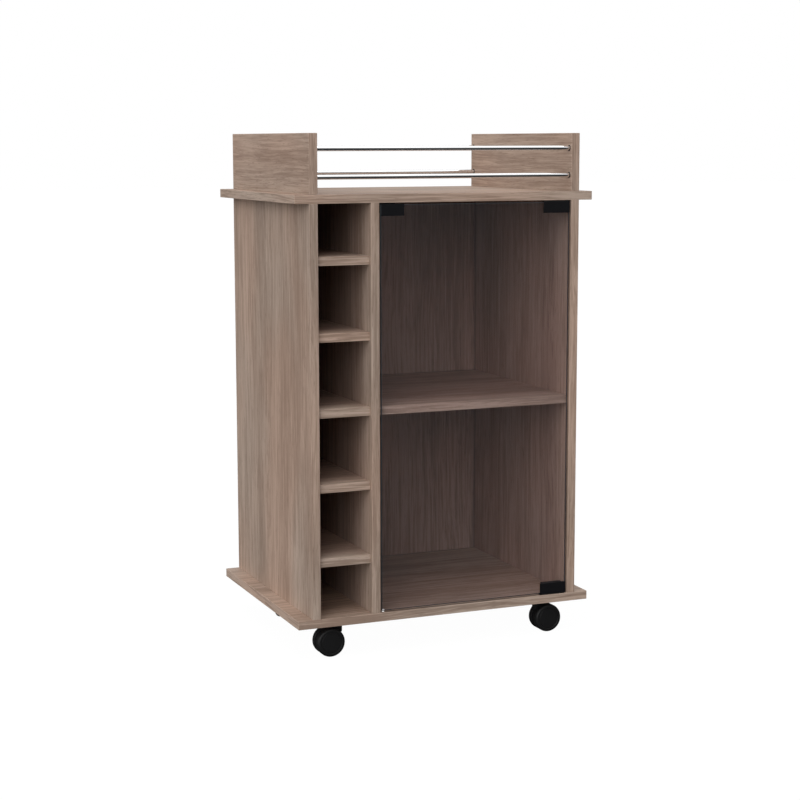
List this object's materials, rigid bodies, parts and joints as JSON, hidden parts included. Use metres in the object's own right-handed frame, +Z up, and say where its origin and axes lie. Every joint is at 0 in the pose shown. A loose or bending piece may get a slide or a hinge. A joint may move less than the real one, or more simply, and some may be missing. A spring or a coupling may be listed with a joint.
{
  "type": "bar cabinet on casters",
  "caption": "Rolling bar cabinet with a bottle rack, a glass pivot door cupboard and a railed top tray, on swivelling twin-wheel casters.",
  "frame": {"origin": "on the floor, under the middle of the cabinet's outline", "axes": "+Z up, +X to the right seen from the front, front faces -Y"},
  "size_m": [0.5486, 0.415, 0.889],
  "materials": {
    "oak_laminate": "grey-brown oak print melamine, satin",
    "printed_hardboard": "hardboard with the same oak print on its front, raw brown behind",
    "smoked_glass": "smoked tempered glass, ground edges",
    "chrome": "bright chrome plate",
    "black_plastic": "moulded black plastic, satin",
    "black_metal": "black coated metal, satin",
    "zinc_steel": "zinc plated",
    "pad_rubber": "matte",
    "white_nylon": "moulded white nylon",
    "beech_dowel": "plain beech",
    "caster_socket_metal": "black coated steel",
    "caster_nylon": "black nylon, satin",
    "axle_steel": "bright steel"
  },
  "bodies": {
    "cabinet": {"base_panel": "oak_laminate", "top_panel": "oak_laminate", "left_side_panel": "oak_laminate", "right_side_panel": "oak_laminate", "divider_panel": "oak_laminate", "gallery_panel_left": "oak_laminate", "gallery_panel_right": "oak_laminate", "middle_shelf": "oak_laminate", "bottle_shelf_1": "oak_laminate", "bottle_shelf_2": "oak_laminate", "bottle_shelf_3": "oak_laminate", "bottle_shelf_4": "oak_laminate", "bottle_shelf_5": "oak_laminate", "back_panel": "printed_hardboard", "front_rail_upper": "chrome", "front_rail_lower": "chrome", "rear_rail_upper": "chrome", "rear_rail_lower": "chrome", "rail_sockets_left": "black_plastic", "rail_sockets_right": "black_plastic", "hinge_bushings": "black_plastic", "touch_latch_body": "black_plastic", "touch_latch_spring": "zinc_steel", "touch_latch_screws": "zinc_steel", "shelf_pins": "zinc_steel", "panel_screws": "zinc_steel", "caster_stems": "zinc_steel", "door_stop_stud": "white_nylon", "panel_dowels": "beech_dowel", "bottle_shelf_dowels": "beech_dowel", "caster_front_left_socket": "caster_socket_metal", "caster_front_right_socket": "caster_socket_metal", "caster_rear_left_socket": "caster_socket_metal", "caster_rear_right_socket": "caster_socket_metal"},
    "door": {"glass_door": "smoked_glass", "hinge_clip_top": "black_metal", "hinge_clip_bottom": "black_metal", "hinge_pins": "zinc_steel", "hinge_pads": "pad_rubber", "hinge_set_screws": "black_metal", "strike_clip": "black_metal"},
    "latch_plunger": {"touch_latch_plunger": "black_plastic", "touch_latch_magnet": "zinc_steel"},
    "front_left_swivel": {"caster_front_left_fork": "caster_nylon", "caster_front_left_axle": "axle_steel"},
    "front_left_wheel_a": {"caster_front_left_wheel_a": "caster_nylon"},
    "front_left_wheel_b": {"caster_front_left_wheel_b": "caster_nylon"},
    "front_right_swivel": {"caster_front_right_fork": "caster_nylon", "caster_front_right_axle": "axle_steel"},
    "front_right_wheel_a": {"caster_front_right_wheel_a": "caster_nylon"},
    "front_right_wheel_b": {"caster_front_right_wheel_b": "caster_nylon"},
    "rear_left_swivel": {"caster_rear_left_fork": "caster_nylon", "caster_rear_left_axle": "axle_steel"},
    "rear_left_wheel_a": {"caster_rear_left_wheel_a": "caster_nylon"},
    "rear_left_wheel_b": {"caster_rear_left_wheel_b": "caster_nylon"},
    "rear_right_swivel": {"caster_rear_right_fork": "caster_nylon", "caster_rear_right_axle": "axle_steel"},
    "rear_right_wheel_a": {"caster_rear_right_wheel_a": "caster_nylon"},
    "rear_right_wheel_b": {"caster_rear_right_wheel_b": "caster_nylon"}
  },
  "joints": [
    {"name": "door_hinge", "type": "hinge", "parent": "cabinet", "child": "door", "pos_m": [0.227, -0.204, 0.424], "axis": [0, 0, 1], "range_deg": [0, 110]},
    {"name": "latch_plunger_slide", "type": "slide", "parent": "cabinet", "child": "latch_plunger", "axis": [0, -1, 0], "range_m": [0, 0.012], "deforming": ["touch_latch_spring"]},
    {"name": "front_left_swivel", "type": "hinge", "parent": "cabinet", "child": "front_left_swivel", "pos_m": [-0.1933, -0.172, 0.045], "axis": [0, 0, 1], "continuous": true},
    {"name": "front_left_wheel_a_spin", "type": "hinge", "parent": "front_left_swivel", "child": "front_left_wheel_a", "pos_m": [-0.208, -0.172, 0.025], "axis": [0, 1, 0], "continuous": true},
    {"name": "front_left_wheel_b_spin", "type": "hinge", "parent": "front_left_swivel", "child": "front_left_wheel_b", "pos_m": [-0.208, -0.172, 0.025], "axis": [0, 1, 0], "continuous": true},
    {"name": "front_right_swivel", "type": "hinge", "parent": "cabinet", "child": "front_right_swivel", "pos_m": [0.1933, -0.172, 0.045], "axis": [0, 0, 1], "continuous": true},
    {"name": "front_right_wheel_a_spin", "type": "hinge", "parent": "front_right_swivel", "child": "front_right_wheel_a", "pos_m": [0.208, -0.172, 0.025], "axis": [0, 1, 0], "continuous": true},
    {"name": "front_right_wheel_b_spin", "type": "hinge", "parent": "front_right_swivel", "child": "front_right_wheel_b", "pos_m": [0.208, -0.172, 0.025], "axis": [0, 1, 0], "continuous": true},
    {"name": "rear_left_swivel", "type": "hinge", "parent": "cabinet", "child": "rear_left_swivel", "pos_m": [-0.1933, 0.1175, 0.045], "axis": [0, 0, 1], "continuous": true},
    {"name": "rear_left_wheel_a_spin", "type": "hinge", "parent": "rear_left_swivel", "child": "rear_left_wheel_a", "pos_m": [-0.1933, 0.1028, 0.025], "axis": [1, 0, 0], "continuous": true},
    {"name": "rear_left_wheel_b_spin", "type": "hinge", "parent": "rear_left_swivel", "child": "rear_left_wheel_b", "pos_m": [-0.1933, 0.1028, 0.025], "axis": [1, 0, 0], "continuous": true},
    {"name": "rear_right_swivel", "type": "hinge", "parent": "cabinet", "child": "rear_right_swivel", "pos_m": [0.1933, 0.1175, 0.045], "axis": [0, 0, 1], "continuous": true},
    {"name": "rear_right_wheel_a_spin", "type": "hinge", "parent": "rear_right_swivel", "child": "rear_right_wheel_a", "pos_m": [0.1933, 0.1028, 0.025], "axis": [1, 0, 0], "continuous": true},
    {"name": "rear_right_wheel_b_spin", "type": "hinge", "parent": "rear_right_swivel", "child": "rear_right_wheel_b", "pos_m": [0.1933, 0.1028, 0.025], "axis": [1, 0, 0], "continuous": true}
  ],
  "couplings": [
    {"joint": "latch_plunger_slide", "follows": "door_hinge", "m_per_rad": 0.00625}
  ]
}
